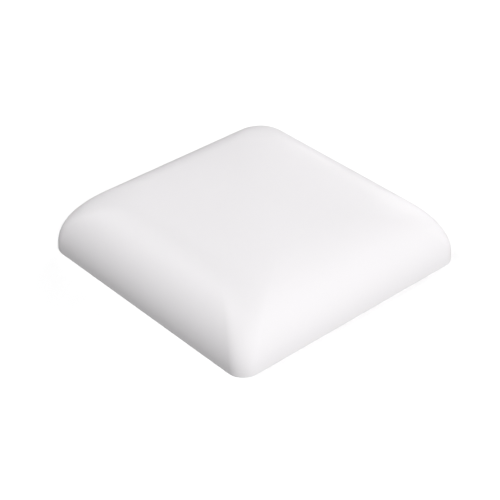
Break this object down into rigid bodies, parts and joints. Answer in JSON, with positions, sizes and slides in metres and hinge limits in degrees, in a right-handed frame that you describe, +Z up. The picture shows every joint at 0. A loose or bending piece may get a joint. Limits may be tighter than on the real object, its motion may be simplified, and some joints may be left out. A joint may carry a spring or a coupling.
{
  "type": "fence post cap",
  "caption": "Low square post cap with large rolled edges and a faintly crowned top, on a screwed-in socket collar with rubber grip strips and a seat gasket.",
  "frame": {"origin": "centre of the rim plane, where the cap's lower edge lies", "axes": "+Z up out of the crowned top, +X and +Y square to two neighbouring sides"},
  "size_m": [0.127, 0.127, 0.0322],
  "materials": {
    "shell_plastic": "satin injection-moulded white plastic, finely textured, slightly soft sheen",
    "collar_plastic": "matt off-white moulded plastic",
    "gasket_rubber": "matt black closed-cell rubber",
    "grip_rubber": "matt dark grey moulded rubber",
    "screw_steel": "plain stainless steel with fine turning marks"
  },
  "bodies": {
    "root": {"cap_shell": "shell_plastic", "post_collar": "collar_plastic", "seat_gasket": "gasket_rubber", "collar_screws": "screw_steel", "grip_strip_front": "grip_rubber", "grip_strip_back": "grip_rubber", "grip_strip_left": "grip_rubber", "grip_strip_right": "grip_rubber"}
  },
  "joints": []
}
